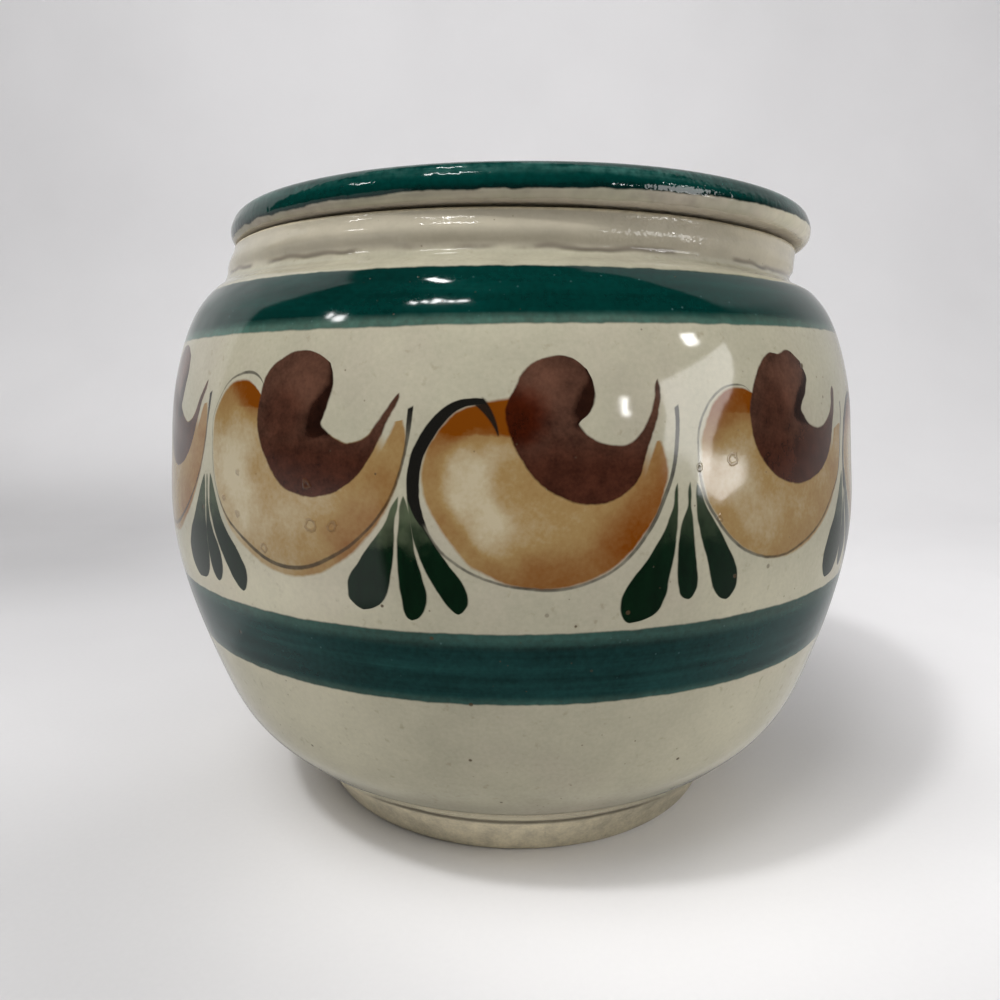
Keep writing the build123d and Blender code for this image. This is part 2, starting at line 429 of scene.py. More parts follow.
WASHES = (
    ((-27.6, 81), (-31, 82.6), (-32.3, 83.7), (-34, 85), (-36, 85.3), (-39, 84), (-41.1, 80.6),
     (-41.7, 76), (-41.4, 71.8), (-40.2, 67.6), (-37, 62.2), (-33, 59.2), (-28, 57.5), (-24, 57.9),
     (-20, 60.2), (-16.6, 63.6), (-13.8, 68.2), (-12, 73.6), (-11.5, 77.6), (-11.9, 80.4), (-14.5, 79.5),
     (-18, 78), (-22, 78)),
    ((4.1, 80), (1, 83.2), (-1, 83.1), (-3.5, 82.4), (-6, 81.2), (-8, 78.6), (-9.3, 75.5), (-9.5, 71),
     (-8.8, 68.5), (-7.5, 65.8), (-6, 63.3), (-4.5, 61.2), (-2.5, 59.7), (-0.5, 58.5), (2, 57.8),
     (6, 57.8), (9, 58.8), (12, 60.6), (14.4, 63.4), (16.4, 66.6), (17.9, 70.2), (18.4, 74),
     (17.7, 77.5), (14, 76.6), (9, 77)),
    ((37.9, 80), (32, 83.4), (30.2, 84.3), (28.4, 84.7), (25.8, 83.7), (23.7, 80.6), (22.9, 75.5),
     (23.6, 70), (25.7, 65.6), (28.9, 62), (32.5, 59.9), (36.9, 59.2), (41.4, 60.3), (45.8, 62.8),
     (50, 66.9), (52.6, 70.8), (53.6, 76.5), (53.7, 79), (49, 77), (44, 76.4)),
)
# Thickness of the ink ring, and how deep the wash's colour is along its edge, by the angle round the ring
RING_WIDTHS = (
    ((-160, 0.3), (-152, 0.55), (-142, 0.4), (-130, 0.25), (-110, 0.14), (-84, 0.14), (-70, 0.35),
     (-45, 0.5), (0, 0.6), (45, 0.5), (80, 0.4), (100, 0.45), (112, 0.8), (117, 0.9)),
    ((-146, 1), (-138, 1.2), (-127, 1.5), (-111, 1.8), (-93, 1.8), (-83, 1.5), (-76, 1), (-66, 0.4),
     (-30, 0.4), (0, 0.45), (30, 0.4), (60, 0.5), (87, 0.6), (116, 0.75), (121, 0.8)),
    ((-144, 0.3), (-130, 0.4), (-100, 0.35), (-85, 0.5), (-45, 0.45), (0, 0.4), (45, 0.4), (85, 0.4),
     (110, 0.5), (118, 0.6)),
)
WASH_DEPTHS = (
    ((-175, 0.95), (-142, 0.9), (-132, 0.55), (-115, 0.36), (-90, 0.1), (-45, 0.2), (0, 0.3), (30, 0.4),
     (52, 0.62), (70, 0.55), (90, 0.5), (112, 0.42)),
    ((-175, 1), (-128, 1), (-115, 0.62), (-100, 0.42), (-60, 0.42), (-30, 0.55), (0, 0.68), (30, 0.64),
     (60, 0.82), (90, 0.7), (108, 0.5)),
    ((-175, 0.9), (-128, 0.8), (-112, 0.5), (-90, 0.3), (-45, 0.34), (0, 0.36), (45, 0.4), (112, 0.34)),
)
# The three leaves of a spray from left to right, each as its left and its right edge from the top down
SPRAY_AXES = -11.5, 20.9, -43.4
LEAVES = (
    (((-12.5, 69.8), (-14.4, 65.8), (-17.5, 61), (-19.4, 57.2), (-19.4, 55.8), (-18.7, 54.4),
      (-17.7, 53.7)),
     ((-12.4, 69.8), (-12.8, 66.5), (-13.3, 60.3), (-13.9, 57.5), (-14.7, 55.3), (-16.1, 54.1),
      (-17.3, 53.7)),
     ((-11.8, 70), (-12.4, 66.1), (-12.6, 60), (-12.4, 55.8), (-12.1, 53.6), (-11.5, 52.7)),
     ((-11.7, 70), (-10.4, 62), (-9.75, 59.2), (-9.3, 56.5), (-9.5, 54.8), (-10.2, 53.4), (-11.1, 52.7)),
     ((-11.3, 70), (-10.9, 65.8), (-9.2, 59.6), (-7.9, 56.8), (-6.6, 54.6), (-5.8, 53.9)),
     ((-11.2, 70), (-9.6, 66.5), (-7.4, 62.3), (-4.9, 57.9), (-4.5, 56), (-4.9, 54.6), (-5.6, 53.9))),
    (((19.6, 71.6), (19, 68.2), (16.2, 62), (13.4, 57.5), (12.7, 55.4), (12.9, 53.4), (13.8, 52.2)),
     ((19.7, 71.6), (19.6, 66.1), (19.3, 62.7), (18.7, 58.9), (18.3, 55.8), (17.3, 53.5), (15.7, 52.5),
      (14.4, 52.2)),
     ((21.3, 71.7), (20.9, 68.5), (20.1, 65.8), (19.7, 62.3), (19.7, 59.2), (20, 56.8), (20.5, 55.5),
      (21.2, 55)),
     ((21.4, 71.7), (21.5, 68.5), (22, 62.3), (22.5, 57.5), (22.2, 55.8), (21.6, 55)),
     ((22.2, 71.7), (22.1, 68.5), (22.5, 65.4), (24.1, 58.9), (25, 55.8), (25.9, 54.6), (26.7, 54.2)),
     ((22.3, 71.7), (23.4, 68.5), (25.9, 63.7), (28.1, 58.9), (28.4, 56.8), (27.8, 54.9), (27.1, 54.2))),
    (((-44.2, 70.5), (-45.8, 67.2), (-47.5, 63.7), (-49.6, 60.2), (-50.6, 57), (-50.2, 54.6), (-48.7, 53)),
     ((-44.1, 70.5), (-43.9, 67), (-43.9, 60), (-44.2, 56.4), (-45.2, 54.3), (-46.6, 53.2), (-48.1, 53)),
     ((-43.4, 70.6), (-43.6, 66), (-44, 60), (-43.9, 56), (-43.3, 54.2), (-42.7, 53.6)),
     ((-43.3, 70.6), (-43, 65.8), (-42.2, 62.3), (-41.1, 59.6), (-40.6, 57.5), (-41.1, 55.1),
      (-42.3, 53.6)),
     ((-42.5, 70.8), (-42.7, 66.5), (-42.1, 63.4), (-40.8, 59.9), (-39.4, 56.8), (-38.1, 54.4),
      (-36.9, 53.2)),
     ((-42.4, 70.8), (-41.4, 68.5), (-39.4, 63.7), (-36.1, 58.9), (-35.2, 56.5), (-35.7, 54.2),
      (-36.5, 53.2))),
)


def about(middle, points, close=0):
    """Points as (angle round a middle, distance in mm), where 0 is straight down and 90 to the right."""
    found = []
    for turn, height in points:
        across, up = (turn - middle[0]) * ARC, height - middle[1]
        angle = math.degrees(math.atan2(across, -up))
        found.append((angle, math.hypot(across, up)))
    for before, after in zip(found, found[1:]):
        if after[0] <= before[0]:
            raise ValueError(f"angle turns back at {after}")
    if close:
        found = [(found[0][0] - 4, found[0][1] + close), *found, (found[-1][0] + 4, found[-1][1] + close)]
    return found


def leaf_edge(points, axis, outwards):
    """A leaf's edge as (height, degrees from the spray's axis) from the bottom up, closed past its ends."""
    found = [(height, turn - axis) for turn, height in reversed(points)]
    low, high = found[0], found[-1]
    return [(low[0] - 0.3, low[1] - outwards * 3), *found, (high[0] + 1.2, high[1] - outwards)]


def paint_motif(brush, colours, ground, turn, height, count):
    """Lays one wash, scroll and ink ring in each cell of the border."""
    cell = brush.maths("FLOOR", count)
    place = (cell + (len(MOTIFS) / 2 + 0.5)) / len(MOTIFS)
    hand = brush.table([HANDS[drawn_by] for drawn_by, _, _ in MOTIFS], place)
    slid = brush.table([(0.5 + slid_round / SLIDE, 0.5 + slid_up / SLIDE, 0)
                        for _, slid_round, slid_up in MOTIFS], place)
    slid_round, slid_up, _ = brush.split(slid)
    local = turn - cell * PITCH - (slid_round - 0.5) * SLIDE
    level = height - (slid_up - 0.5) * SLIDE
    home = PITCH, 0, -PITCH

    def polar(middles):
        across = (local - brush.chosen(hand, [m[0] + h for m, h in zip(middles, home)])) * ARC
        up = level - brush.chosen(hand, [m[1] for m in middles])
        angle = brush.maths("ARCTAN2", across, -up) * (180 / math.pi)
        return across, up, angle, brush.distance(across, up)

    def read(middles, lines, close=0):
        polar_lines = [about(middle, line, close) for middle, line in zip(middles, lines)]
        return brush.stroke(hand, angle, polar_lines, 0, 180, WIDEST)

    shaky = brush.noise(4, 1) * 0.5 + brush.noise(0.9, 1) * 0.25

    # Scroll: what lies between its outer and its inner edge
    across, up, angle, reach = polar(SCROLL_MIDDLES)
    past_scroll = reach + shaky - read(SCROLL_MIDDLES, SCROLL_OUTSIDES, -2)
    into_scroll = reach + shaky * 0.7 - read(SCROLL_MIDDLES, SCROLL_INSIDES, 2)
    scroll = brush.step(past_scroll, 0.2, -0.2) * brush.step(into_scroll, -0.2, 0.2)
    gap = brush.step(angle, 22, 50) * brush.step(past_scroll, 1.25, 0.75) \
        * brush.step(past_scroll, -0.6, -0.1)
    light = brush.step(brush.distance(across + 9.3, up - 2.6) + shaky * 2, 5.5, 1.5)
    blot = brush.distance(across + 13, up + 2)
    red = (brush.step(blot + shaky * 4, 6, 2) * brush.chosen(hand, (0.35, 1, 0.3))) \
        | (brush.step(up + shaky * 4, -2, -9) * 0.6)
    shadow = into_scroll + shaky * 1.5 - brush.stroke(hand, angle, SHADOWS, 0, 180, 5)
    dark = brush.step(shadow, 0.8, -0.6) * brush.step(angle, -38, -50)

    # Wash: deeper along its edge and in the curl at its top
    across, up, angle, reach = polar(RING_MIDDLES)
    edge = read(RING_MIDDLES, WASHES)
    wash = brush.step(reach + shaky - edge, 0.3, -0.3) * brush.step(into_scroll, -0.2, 0.15)
    depth = brush.stroke(hand, angle, WASH_DEPTHS, 0, 180, 1)
    share = reach / edge
    core = brush.chosen(hand, (0.24, 0.33, 0.32))
    warm = core + (depth - core) * brush.step(share, 0.35, 1)
    curl = brush.step(level + shaky * 2 - brush.chosen(hand, (81, 77.7, 80.5)), -0.5, 0.9) \
        * brush.step(angle, -95, -112)
    warm = warm | (curl * depth)
    crescent = brush.step(share, 0.34, 0.56) * brush.step(share, 0.9, 0.74) \
        * brush.step(angle, -165, -120) * brush.step(angle, -5, -60) * brush.chosen(hand, (0.12, 0.3, 0.1))
    warm = warm - crescent + brush.noise(4.5, 4, shift=0.3) * 0.4 + brush.noise(0.7, 3) * 0.2
    tan, orange = tuple(colours.tan), tuple(colours.orange)
    pale = tuple(a * b for a, b in zip(tuple(colours.cream), (1.12, 1.02, 0.92)))
    amber = tuple(0.4 * a + 0.6 * b for a, b in zip(tan, orange))
    fill = brush.node("ShaderNodeValToRGB", {"stops": (
        "LINEAR", [(0.02, pale), (0.34, tan), (0.6, amber), (0.85, orange)])}, {"Fac": warm})
    painted = brush.lay(ground, fill, wash * (1 - gap))

    # The scroll is redder by the curl and low down, and nearly black along its inner edge
    deep = tuple(colours.scroll)
    thin = tuple(a + b for a, b in zip(deep, (0.03, 0.026, 0.019)))
    brown = brush.lay(thin, deep, red)
    brown = brush.lay(brown, tuple(0.2 * c for c in deep), dark * 0.85)
    mottle = 1 + brush.noise(2.2, 3) * 1.5 + brush.noise(0.5, 3) * 0.9
    brown = brush.deepen(brown, mottle + light * 0.6 * (1 - dark))
    painted = brush.lay(painted, brown, scroll)

    # Ink ring, and the hook in which the second hand begins it
    line = read(RING_MIDDLES, RINGS)
    width = brush.stroke(hand, angle, RING_WIDTHS, 0, 180, 2)
    start, stop = brush.chosen(hand, (-159.5, -145.5, -143.5)), brush.chosen(hand, (116.4, 120.9, 117.1))
    ends = brush.step(angle - start, -1, 1) * brush.step(angle - stop, 0.4, -0.4)
    ink = brush.step(abs(reach + shaky * 0.4 - line) - width * 0.5, 0.13, -0.13) * ends
    hook_across, hook_up = across + 8.9, up - 11.6
    along = (hook_across * 0.497 + hook_up * -0.868) / 4.95
    beside = hook_across * 0.868 + hook_up * 0.497 - along * (1 - along) * 1.4
    hook = brush.step(abs(beside) - 0.75 + along * 0.65, 0.16, -0.16) * brush.step(along, -0.16, -0.04) \
        * brush.step(along, 1.02, 0.96) * brush.chosen(hand, (0, 1, 0))
    strong = brush.step(width, 0.15, 1)
    strength = strong * 0.5 + 0.52 + brush.noise(1.6, 2) * 0.8 * (1 - strong)
    return brush.lay(painted, tuple(colours.ink), (ink * strength) | (hook * 0.95))


def paint_sprays(brush, colours, ground, around, height):
    """Lays three leaves in each gap between the motifs."""
    spot = around / PITCH + 0.5
    cell = brush.maths("FLOOR", spot)
    hand = brush.table([HANDS[s] for s in SPRAYS], (cell + (len(SPRAYS) / 2 - 0.5)) / len(SPRAYS))
    local = around - cell * PITCH
    shaky = brush.noise(3, 1) * 0.4
    leaves = 0

    def within(edge, outwards):
        lines = [leaf_edge(spray[edge], axis, outwards) for spray, axis in zip(LEAVES, SPRAY_AXES)]
        past = brush.stroke(hand, height, lines, 61, 12, 12) - local
        return brush.step(past * (outwards * ARC) + shaky, -0.16, 0.16)

    for left in (0, 2, 4):
        leaves = (within(left, -1) * within(left + 1, 1)) | leaves
    thin = brush.step(height + brush.noise(2.5, 2) * 6, 62, 67.5) * brush.chosen(hand, (1, 0.3, 0.6))
    leaf = tuple(colours.leaf)
    sheer = brush.lay(leaf, tuple(a + b for a, b in zip(leaf, (0.04, 0.056, 0.026))), thin)
    sheer = brush.deepen(sheer, 1 + brush.noise(1.2, 2, (1, 1, 0.3)) * 1.2)
    return brush.lay(ground, sheer, leaves * (1 - thin * 0.1))


# Edges of the two bands: the height in the middle, and the climb for each mm to the right
UPPER_BAND = (93, 0.0194), (101.2, 0.0056)
LOWER_BAND = (39.4, 0.0016), (51, 0.0059)
# How dark the neck's groove is painted, by turn: smudged glaze, and painted shade in the groove
SMUDGE_AND_SHADE = ((-180, 0.4), (-150, 0.8), (-120, 0.2), (-90, 0.5), (-66, 0.3), (-61, 0.95), (-51, 0.85),
           (-46.5, 0.2), (-43, 0.8), (-26, 1), (-22, 0.3), (-10, 0.45), (1, 0.4), (6, 0.9), (23, 1),
           (25.5, 0.7), (27, 0.1), (36, 0.1), (41, 0.9), (60, 0.9), (80, 0.4), (110, 0.7), (150, 0.2),
           (180, 0.4))

# Pits in the glaze: turn, height and radius
PITS = ((-24.2, 71, 0.45), (-36, 71.7, 0.3), (-36, 65.5, 0.35), (-39, 67.5, 0.3), (-31.3, 61, 0.5),
        (-23.7, 65.3, 0.8), (-20.7, 65.4, 0.6), (27.5, 74.6, 0.75), (22.6, 73.8, 0.35),
        (25.4, 66.4, 0.35))

# Height, and the radius of the middle of the wall: what lies within it is the inside
WALL_MIDDLE = ((9, 40), (14, 48.5), (26, 58.3), (40, 63.4), (60, 66.9), (72, 66.8), (80.5, 65.7),
               (88, 63.1), (93, 60.4), (97, 57.9), (101, 56), (104, 53.8), (112, 53.2))


def paint_pot(colours):
    """Glaze, bands, border, bare foot and rim of the pot."""
    material = bpy.data.materials.new("painted_glaze")
    brush = Brush(material)
    x, y, z = brush.split(brush.place)
    height = z / MM
    across = x / MM - brush.curve(height, LEAN)
    turn = brush.maths("ARCTAN2", across, y / -MM) * (180 / math.pi)
    drift = brush.curve(turn, ((-180, 0), (-90, 0.5), (-44.2, 0.83), (-11.5, 0), (21.2, -0.33), (54, 1.05),
                               (100, 0.3), (180, 0)))
    around = turn - drift - FIRST_EDGE
    cream, clay, green = tuple(colours.cream), tuple(colours.clay), tuple(colours.green)

    # Ground: thin cream glaze that lets the clay show through here and there
    ground = brush.lay(cream, tuple(0.86 * c for c in clay),
                       brush.step(brush.noise(18, 3), -0.05, 0.3) * 0.6)
    # Low on the left and right sides the ground is painted lighter: painted bounce light from the cloth
    ground = brush.deepen(ground, 1 + brush.noise(7, 4) * 0.28 + brush.noise(0.7, 3) * 0.24
                          + brush.step(height, 64, 53) * (brush.step(across, -8, -34) * 0.36
                                                          + brush.step(across, 18, 38) * 0.2))
    freckle = brush.step(brush.noise(1.5, 5, shift=0.9), 0.1, 0.3)
    ground = brush.lay(ground, shade(134, 120, 92), freckle * 0.4)
    painted = paint_sprays(brush, colours, ground, around, height)
    count = (around - brush.step(height, 73, 79) * 0.9) / PITCH
    painted = paint_motif(brush, colours, painted, turn, height, count)

    # Bands: brushed on while the pot turned, so they are streaked level
    streak = brush.noise(5, 3, (0.12, 0.12, 3))
    ragged = brush.noise(3, 3, (1, 1, 0.4)) * 0.5
    level = height + ragged

    def between(low, high):
        return brush.step(level - across * low[1], low[0] - 0.2, low[0] + 0.2) \
            * brush.step(level - across * high[1], high[0] + 0.2, high[0] - 0.2)

    upper, lower = between(*UPPER_BAND), between(*LOWER_BAND)
    thin = brush.step(level - across * UPPER_BAND[0][1] + streak * 1.6, 94.9, 93.4) * upper
    thin = thin | ((brush.step(level, 41, 39.6) | brush.step(level, 48, 50.2)) * lower * 0.5)
    band = brush.lay(green, (green[0] + 0.009, green[1] * 1.48, green[2] * 1.7), lower)
    band = brush.lay(band, tuple(a + b for a, b in zip(green, (0.03, 0.09, 0.072))),
                     (thin * (0.78 + brush.noise(1.5, 3) * 1.2) * (1 - brush.step(across, 12, 34) * 0.35))
                     | (brush.step(streak, 0.08, 0.3) * 0.15))
    band = brush.deepen(band, 1 + streak * 1.3 + brush.noise(0.8, 4) * 0.8
                        + brush.noise(12, 2) * 0.8)
    grains, _ = brush.cells(1.7)
    dust = brush.step(grains, 0.13, 0.05) * brush.step(brush.noise(6, 3, shift=0.4), -0.02, 0.12)
    band = brush.lay(band, shade(74, 104, 104), dust * 0.6)
    painted = brush.lay(painted, band, (upper | lower) * (1 - thin * 0.1))

    # Ledge, neck and rim: cream with the groove stained and painted darker as shade, and grit that burned
    # grey
    groove = brush.step(abs(height - 104.4 + brush.noise(7, 1) * 1.5) - 0.3, 0.35, -0.25)
    patchy = brush.curve(turn, SMUDGE_AND_SHADE) + brush.noise(5, 3, (1, 1, 0.6), 0.5) * 1.4
    painted = brush.lay(painted, shade(60, 52, 40), groove * brush.step(patchy, 0.2, 0.85) * 0.92)
    painted = brush.lay(painted, clay, brush.step(height, 103.4, 105) * 0.55)
    neck = brush.step(height, 101, 101.6)
    # The neck is painted lighter on the right as painted window light, and the ledge is painted darker as
    # painted shade
    painted = brush.deepen(painted, 1 - neck * (0.02 + brush.noise(5, 4, (1, 1, 1.6)) * 0.35)
                           + neck * brush.step(across, 30, 48) * 0.3
                           - neck * brush.step(height, 103.8, 103) * 0.14)

    # Foot: bare clay below the turned edge, lighter than the glaze partly by its own colour and partly as
    # painted light; painted lighter at the front and darker on the right as painted light and shade
    bare = brush.step(height + ragged, 9.8, 8.8) | brush.step(height, 109.3, 109.8)
    dry = tuple(a * b for a, b in zip(cream, (1.36, 1.28, 1.22)))
    dry = brush.deepen(dry, 1 + brush.noise(3, 4) * 0.9 + brush.noise(0.5, 2) * 0.5
                       - brush.step(across, 10, 24) * 0.25 + brush.step(abs(turn + 4), 20, 8) * 0.2)
    painted = brush.lay(painted, dry, bare * 0.9)
    # Stained and painted darker in the groove over the foot and where the body meets it, at the front:
    # partly a stain, partly painted shade in the recesses
    foot_stain_and_shade = brush.step(abs(height - 8.6 + ragged * 0.5), 1.2, 0.4) \
        | (brush.step(abs(height - 13.4), 1.1, 0.2) * 0.5)
    painted = brush.lay(painted, shade(84, 76, 60), foot_stain_and_shade * brush.step(abs(turn), 46, 24) * 0.8)

    # Iron specks that burned through
    dots, own = brush.cells(5.5)
    size, chance, _ = brush.split(own)
    speck = brush.step(dots, size * 0.1, size * 0.05) * brush.step(chance, 0.25, 0.6)
    small, _ = brush.cells(2.1)
    crowded = brush.step(brush.noise(9, 2, shift=0.7), 0.02, 0.12)
    speck = speck | (brush.step(small, 0.09, 0.05) * crowded * 0.6)
    painted = brush.lay(painted, shade(80, 64, 46), speck * 0.85)

    # Pits where the glaze boiled, each with a raised brown lip
    pits, uneven = 0, brush.noise(0.9, 2) * 0.9
    for pit_turn, pit_height, size in PITS:
        away = brush.distance((turn - pit_turn) * ARC, height - pit_height) - size
        pits = brush.step(abs(away + uneven), 0.34, 0.08) | pits
    painted = brush.lay(painted, shade(104, 78, 56), pits * 0.32)

    # Inside the pot there is only the plain glaze
    radius = brush.distance(across, y / MM)
    inside = brush.step(brush.curve(height, WALL_MIDDLE) - radius, -0.6, 0.6) \
        * brush.step(height, 9, 10)
    painted = brush.lay(painted, ground, inside)

    sparkling = brush.step(turn, 6, 18) * brush.step(turn, 48, 34) * brush.step(height, 104.6, 105.6)
    finish(brush, painted, bare, speck - pits * 2, brush.step(height, 101.5, 104), sparkling)
    return material


def finish(brush, colour, bare, speck, rippled, sparkling):
    """Glassy where there is glaze, dull and grainy where the clay is bare."""
    brush.link(colour, "Principled BSDF", "Base Color")
    rough = 0.07 + brush.noise(3, 2) * 0.05 + bare * 0.6
    brush.link(rough, "Principled BSDF", "Roughness")
    relief = brush.noise(9, 1) * 0.03 + brush.noise(1.3, 1) * (bare * 0.2 + rippled * 0.04 + 0.003) \
        + brush.noise(0.8, 1) * sparkling * 0.14 - speck * 0.03
    bump = brush.node("ShaderNodeBump", inputs={"Height": relief, "Distance": MM, "Strength": 1})
    brush.link(bump, "Principled BSDF", "Normal")


# Where the green ends on the lid's side: mm to the right of the middle, and height
GREEN_ENDS = (-60, 110.9), (-46, 111.3), (-30, 111.5), (0, 111.7), (25, 112.1), (60, 113)


def paint_lid(colours):
    """Green over the top and the side, a cream under-edge painted lighter to the right as painted window
    light, and bare clay below.
    """
    material = bpy.data.materials.new("lid_glaze")
    brush = Brush(material)
    x, y, z = brush.split(brush.place)
    across = x / MM
    height = z / MM - across * (0.2 / LID_RADIUS)
    cream, clay, green = tuple(colours.cream), tuple(colours.clay), tuple(colours.green)
    ground = brush.lay(tuple(0.92 * c for c in clay), cream, brush.step(brush.noise(9, 2), -0.2, 0.2))
    # The under-edge is painted lighter towards the right end: painted window light
    ground = brush.deepen(ground, 0.92 + brush.noise(2.5, 4) * 0.5 + brush.step(across, 30, 50) * 0.6)
    ragged = brush.noise(4, 3, (1, 1, 0.3)) * 0.9
    streak = brush.noise(5, 3, (0.2, 0.2, 3))
    past = height + ragged - brush.curve(across, GREEN_ENDS)
    cover = brush.step(past, 0, 0.35)
    thin = brush.step(past + streak, 1.2, 0.1)
    # Pale patches high on the green side, stronger to the right: partly worn glaze, partly painted sheen
    worn_and_sheen = brush.step(streak + brush.noise(1.4, 3) * 0.6, -0.1, 0.3) * brush.step(height, 113.4, 115.2)
    worn_and_sheen = worn_and_sheen * (0.6 + brush.step(across, 4, 20) * 0.4)
    band = brush.lay(tuple(1.25 * c for c in green),
                     tuple(a + b for a, b in zip(green, (0.05, 0.115, 0.1))), worn_and_sheen)
    band = brush.lay(band, tuple(0.25 * c for c in green), thin * 0.7)
    band = brush.deepen(band, 1 + streak * 0.8 + brush.noise(0.8, 3) * 0.9)
    painted = brush.lay(ground, band, cover)
    bare = brush.step(height + ragged * 0.5, 110.9, 110.6)
    painted = brush.lay(painted, clay, bare)
    dots, _ = brush.cells(7)
    speck = brush.step(dots, 0.05, 0.03)
    sparkling = brush.step(across, 10, 18) * brush.step(across, 46, 36) * brush.step(height, 115, 113.6)
    finish(brush, painted, bare, speck, 1.2, sparkling * 0.5)
    return material


class JAR_OT_throw_pot(bpy.types.Operator):
    """Throws the pot: foot ring, belly, ledge, neck and the hollow inside"""

    bl_idname = "jar.throw_pot"
    bl_label = "Throw the pot"

    def execute(self, context):
        settings = context.scene.jar_shape
        outside = [(r, z) for z, r in spaced(BODY_OUTSIDE, 15.2, 100.9, 44)]
        inside = [(r, z) for z, r in reversed(spaced(BODY_INSIDE, 16, 97, 34))]
        profile = [*FOOT_PROFILE, *outside, *NECK_PROFILE, *inside, *FLOOR_PROFILE]
        pot = turned("thrown_pot", profile)
        for point in pot.data.vertices:
            fill_grooves(point.co)
            point.co.x += lean_at(point.co.z / MM) * MM
        finish_clay(pot, settings)
        for point in pot.data.vertices:
            point.co.z = max(point.co.z, 0)
        pot.data.materials.append(paint_pot(context.scene.jar_glaze))
        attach(pot, "jar")
        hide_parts("jar")
        return {"FINISHED"}


def finish_clay(piece, settings):
    """Leaves the soft unevenness of the potter's hands in it."""
    hands = bpy.data.textures.new(piece.name + "_hands", "CLOUDS")
    hands.noise_scale = settings.wobble_size
    hands.noise_depth = 1
    apply_modifier(piece, "DISPLACE", "hands", texture=hands, texture_coords="LOCAL",
                   strength=2 * settings.wobble, mid_level=0.5)
    only(piece)
    bpy.ops.object.shade_smooth()


class JAR_OT_throw_lid(bpy.types.Operator):
    """Throws the lid: a shallow dome with a rounded edge and a locating ring"""

    bl_idname = "jar.throw_lid"
    bl_label = "Throw the lid"

    def execute(self, context):
        settings = context.scene.jar_shape
        lid = turned("thrown_lid", [(r, LID_SEAT + rise) for r, rise in LID_PROFILE])
        finish_clay(lid, settings)
        for point in lid.data.vertices:
            point.co.x += LID_LEAN * MM
            point.co.z += settings.lid_rise / 2 * point.co.x / (LID_RADIUS * MM)
        lid.data.materials.append(paint_lid(context.scene.jar_glaze))
        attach(lid, "lid")
        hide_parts("lid")
        return {"FINISHED"}


class StudioSettings(bpy.types.PropertyGroup):
    """Where the camera stands and how the studio is lit"""

    distance: bpy.props.FloatProperty(
        name="Distance", description="Lens to the jar's axis", default=0.167816, unit="LENGTH")
    height: bpy.props.FloatProperty(
        name="Height", description="Lens above the table", default=0.086267, unit="LENGTH")
    pitch: bpy.props.FloatProperty(
        name="Pitch", description="How far the camera looks down", default=0.1647308, subtype="ANGLE")
    roll: bpy.props.FloatProperty(
        name="Roll", description="How far the picture is turned", default=-0.0052005, subtype="ANGLE")
    focal: bpy.props.FloatProperty(
        name="Focal share", description="Focal length over the picture's width", default=0.751)
    shift: bpy.props.FloatProperty(
        name="Shift", description="Sideways framing over the picture's width", default=-0.017358)
    cloth: colour("Cloth", "Colour of the table and the backdrop", 233, 232, 233)
    room: bpy.props.FloatProperty(
        name="Room", description="Strength of the light from above", default=0.56, min=0, max=2)
    key: bpy.props.FloatProperty(
        name="Key", description="Power of the soft light from the upper left", default=4.2, min=0, max=50,
        unit="POWER")
    window: bpy.props.FloatProperty(
        name="Window", description="Power of the soft light from the right", default=1.5, min=0, max=50,
        unit="POWER")
    glint: bpy.props.FloatProperty(
        name="Glint", description="Strength of the lamps that the glaze mirrors",
        default=26, min=0, max=100)


# Lamps that the glaze mirrors: round from the front, rise, half width and half height in degrees, and share
LAMPS = ((-45.5, 53, 1.9, 0.9, 1), (-40.5, 54.4, 1.6, 0.8, 1), (-36.2, 55.6, 1.3, 2, 1),
         (-33, 56, 2.2, 1, 1), (-28, 56.5, 1.7, 0.8, 1), (-23, 57, 2.2, 0.8, 1),
         (-73, 39.5, 1.2, 1.1, 0.8), (-69, 39, 1.4, 1.2, 0.8), (-69, 72.5, 11, 1.1, 1),
         (63, 31, 2.6, 2, 1), (34.5, 12.6, 1.2, 3, 1))


